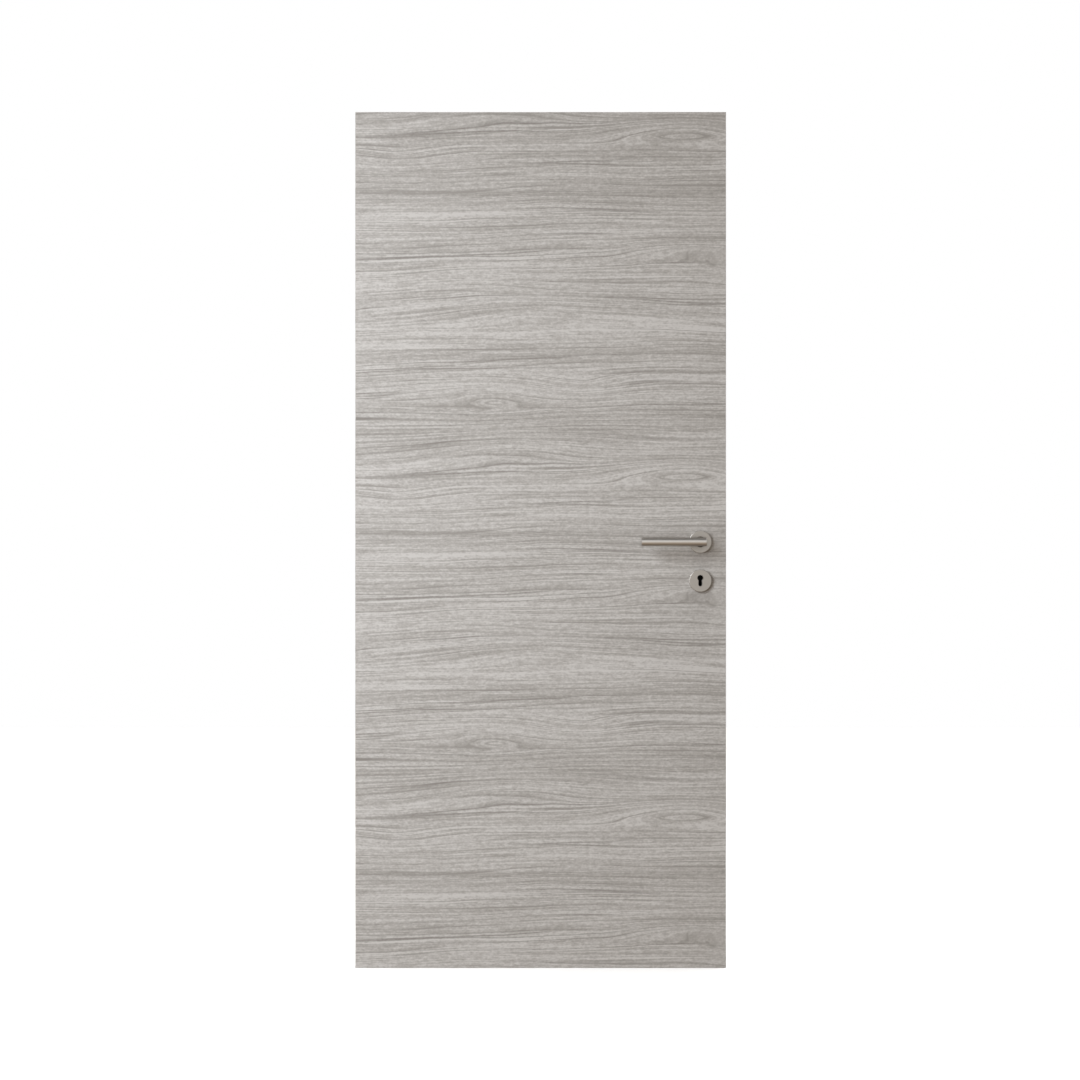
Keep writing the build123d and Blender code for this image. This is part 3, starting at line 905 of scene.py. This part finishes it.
class DOOR_OT_add_keyhole_shade_plate(bpy.types.Operator):
    """Add a black plate inside the lock case: painted shade that darkens the view through the keyhole
    """

    bl_idname = "door.add_keyhole_shutter"
    bl_label = "Add Keyhole Shade Plate"

    def execute(self, context):
        size = context.scene.door_fasteners
        # A near-black plate: painted shade standing in for the dark inside of the lock
        material = plastic_material("keyhole_shade_black", size.shade_plate_tone, roughness=0.7, relief=0.00002)
        radius = size.shade_plate_width / 2
        straight = size.shade_plate_height / 2 - radius
        near = size.shade_plate_place - size.shade_plate_thickness / 2
        steps = 20
        shape = bmesh.new()
        corners = []
        for rise, start in ((straight, 0.0), (-straight, math.pi)):
            for i in range(steps + 1):
                turn = start + math.pi * i / steps
                x = key_axis.x + radius * math.cos(turn)
                z = key_axis.z + rise + radius * math.sin(turn)
                corners.append(shape.verts.new((x, near, z)))
        plate = shape.faces.new(corners)
        made = bmesh.ops.extrude_face_region(shape, geom=[plate])["geom"]
        moved = [item for item in made if isinstance(item, bmesh.types.BMVert)]
        bmesh.ops.translate(shape, vec=(0, size.shade_plate_thickness, 0), verts=moved)
        mesh_piece("keyhole_shade_plate", shape, "leaf", material)
        return {"FINISHED"}


class DOOR_OT_build_stage(bpy.types.Operator):
    """Build the pale floor, the soft studio lights and the camera"""

    bl_idname = "door.build_stage"
    bl_label = "Build Stage"

    def execute(self, context):
        stage = context.scene.door_stage
        build_floor(context.scene, stage)
        build_surroundings(context.scene, stage)
        tall = (stage.light_width, stage.light_height)
        small = (stage.accent_size, stage.accent_size)
        rise = Vector((0, 0, stage.accent_rise))
        for name, power, place in (
            ("key", stage.key_power, stage.key_place),
            ("back_key", stage.back_power, stage.back_place),
        ):
            soft_light(name, stage, power, tall, place)
            soft_light(name + "_accent", stage, stage.accent_power, small, place + rise)
        build_overhead_light(context.scene, stage)
        build_camera(context.scene, stage)
        context.scene.view_settings.view_transform = "Standard"
        return {"FINISHED"}


def build_floor(scene, stage):
    """A plain pale floor just under the leaf."""
    half = stage.floor_size / 2
    shape = bmesh.new()
    corners = [
        shape.verts.new((leaf_width / 2 + side * half, depth * half, -stage.floor_gap))
        for side, depth in ((-1, -1), (1, -1), (1, 1), (-1, 1))
    ]
    shape.faces.new(corners)
    mesh = bpy.data.meshes.new("floor")
    shape.to_mesh(mesh)
    shape.free()
    floor = bpy.data.objects.new("floor", mesh)
    scene.collection.objects.link(floor)
    material, graph, shader = new_material("floor_paint", {"Roughness": 0.6, "Specular IOR Level": 0.2})
    place, _ = place_of(graph)
    cloud = graph.field(place, (1.5, 1.5, 1.5), seed=3.0, detail=4.0)
    patch_shade = 0.985
    darker = tuple(part * patch_shade for part in stage.floor_tone)
    graph.feed(shader["Base Color"], graph.blend(cloud, tuple(stage.floor_tone), darker))
    floor.data.materials.append(material)
    floor.visible_glossy = False
    floor.visible_diffuse = False


def build_surroundings(scene, stage):
    """White to the camera, one warm tone to rough surfaces, and a room in tones to shiny ones."""
    world = bpy.data.worlds.new("studio")
    world.use_nodes = True
    world.node_tree.nodes.clear()
    scene.world = world
    graph = Graph(world.node_tree)
    direction = graph.separate(graph.node("TexCoord").outputs["Generated"])
    height = graph.math("MULTIPLY_ADD", direction["Z"], 0.5, 0.5)
    bands = graph.ramp(height, room_tones)
    side = graph.math("MULTIPLY_ADD", direction["X"], room_slope, 1.0)
    room = graph.vector("MULTIPLY", bands, graph.combine(side, side, side))
    rays = graph.node("LightPath").outputs
    seen = graph.blend(rays["Is Glossy Ray"], tuple(stage.ambient), room)
    white = (1.0, 1.0, 1.0)
    final = graph.blend(rays["Is Camera Ray"], seen, white)
    sky = graph.node("Background", {"Color": final, "Strength": 1.0})
    graph.node("OutputWorld", {"Surface": sky.outputs["Background"]})


def soft_light(name, stage, power, size, place):
    """An area light that points at the lower part of the leaf."""
    data = bpy.data.lights.new(name, "AREA")
    data.shape = "RECTANGLE"
    data.size, data.size_y = size
    data.spread = stage.light_spread
    data.color = stage.light_tone
    data.energy = power
    lamp = bpy.data.objects.new(name, data)
    lamp.location = place
    lamp.rotation_mode = "QUATERNION"
    lamp.rotation_quaternion = (stage.light_target - place).to_track_quat("-Z", "Y")
    bpy.context.scene.collection.objects.link(lamp)


def build_overhead_light(scene, stage):
    """An even light from straight above, for the floor, that doesn't show in the steel."""
    data = bpy.data.lights.new("overhead", "SUN")
    data.energy = stage.overhead_strength
    data.angle = stage.overhead_angle
    lamp = bpy.data.objects.new("overhead", data)
    lamp.visible_glossy = False
    scene.collection.objects.link(lamp)


def build_camera(scene, stage):
    """A camera straight in front of the leaf, as far off as the perspective asks for."""
    data = bpy.data.cameras.new("camera")
    data.sensor_width = 36.0
    data.lens = data.sensor_width * stage.camera_distance / stage.view_height
    camera = bpy.data.objects.new("camera", data)
    camera.location = (stage.camera_side, -face - stage.camera_distance, stage.camera_height)
    camera.rotation_euler = (math.pi / 2, 0, 0)
    scene.collection.objects.link(camera)
    scene.camera = camera


operators = (
    DOOR_OT_dress_leaf,
    DOOR_OT_dress_inside,
    DOOR_OT_dress_fittings,
    DOOR_OT_dress_lock,
    DOOR_OT_add_forend_screws,
    DOOR_OT_add_keyhole_shade_plate,
    DOOR_OT_build_stage,
)
settings_groups = {
    "door_decor": DoorDecorSettings,
    "door_wood": DoorWoodSettings,
    "door_steel": DoorSteelSettings,
    "door_fasteners": DoorFastenerSettings,
    "door_stage": DoorStageSettings,
}


class DOOR_PT_builder(bpy.types.Panel):
    """Lists the steps that dress the door"""

    bl_label = "Interior Door"
    bl_idname = "DOOR_PT_builder"
    bl_space_type = "VIEW_3D"
    bl_region_type = "UI"
    bl_category = "Door"

    def draw(self, context):
        for operator in operators:
            self.layout.operator(operator.bl_idname)
        for name in settings_groups:
            settings = getattr(context.scene, name)
            box = self.layout.box()
            box.label(text=name.replace("door_", "").title())
            for key in settings.bl_rna.properties.keys():
                if key not in ("rna_type", "name"):
                    box.prop(settings, key)


def register():
    for name, group in settings_groups.items():
        bpy.utils.register_class(group)
        setattr(bpy.types.Scene, name, bpy.props.PointerProperty(type=group))
    for operator in operators:
        bpy.utils.register_class(operator)
    bpy.utils.register_class(DOOR_PT_builder)


def unregister():
    bpy.utils.unregister_class(DOOR_PT_builder)
    for operator in reversed(operators):
        bpy.utils.unregister_class(operator)
    for name, group in reversed(settings_groups.items()):
        delattr(bpy.types.Scene, name)
        bpy.utils.unregister_class(group)


def main():
    """Dresses the door step by step."""
    register()
    bpy.ops.door.dress_leaf()
    bpy.ops.door.dress_inside()
    bpy.ops.door.dress_fittings()
    bpy.ops.door.dress_lock()
    bpy.ops.door.add_forend_screws()
    bpy.ops.door.add_keyhole_shutter()
    bpy.ops.door.build_stage()


if __name__ == "__main__":
    main()
